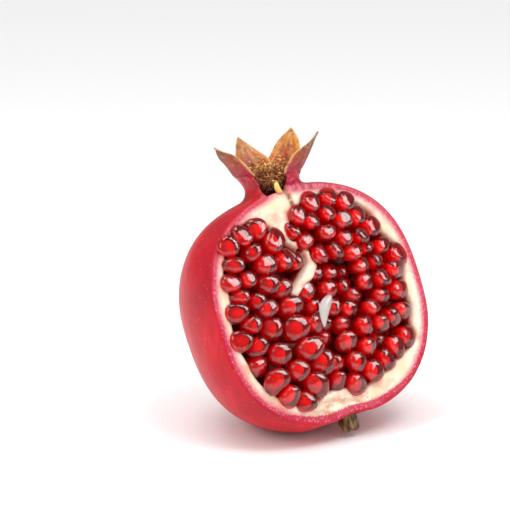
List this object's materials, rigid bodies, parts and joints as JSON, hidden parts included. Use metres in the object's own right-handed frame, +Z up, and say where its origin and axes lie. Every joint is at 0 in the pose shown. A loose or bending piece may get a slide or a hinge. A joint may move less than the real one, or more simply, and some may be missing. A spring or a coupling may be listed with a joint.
{
  "type": "cut pomegranate",
  "caption": "Fresh pomegranate cut open beside its axis, ruby arils packed in cream pith, with its calyx crown and a stalk stub, resting on a small flat spot.",
  "frame": {"origin": "middle of the bounding box, on the resting surface", "axes": "+Z up, through the resting surface; the cut face looks towards -Y and leans back; the crown points up and a little towards -X"},
  "size_m": [0.0962, 0.0766, 0.1139],
  "materials": {
    "rind": "waxy crimson peel with pale lenticels outside, matt cream pith on the cut",
    "aril_flesh": "wet translucent ruby flesh over a pale seed",
    "membrane": "torn, thin, matt white membrane",
    "bark": "dry rough brown stalk",
    "stamen": "dry golden-brown filaments and anthers",
    "style": "moist yellow style stump",
    "dried_calyx": "drying leathery calyx lobe, red at the foot and tan at the edges"
  },
  "bodies": {
    "root": {"rind": "rind", "arils_upper_left": "aril_flesh", "arils_left": "aril_flesh", "arils_lower_left": "aril_flesh", "arils_bottom": "aril_flesh", "arils_lower_right": "aril_flesh", "arils_right": "aril_flesh", "arils_upper_right": "aril_flesh", "arils_middle": "aril_flesh", "membrane_flap": "membrane", "stem_stub": "bark", "stamens": "stamen", "style": "style", "sepal_right": "dried_calyx", "sepal_back": "dried_calyx", "sepal_back_left": "dried_calyx", "sepal_left": "dried_calyx"}
  },
  "joints": []
}
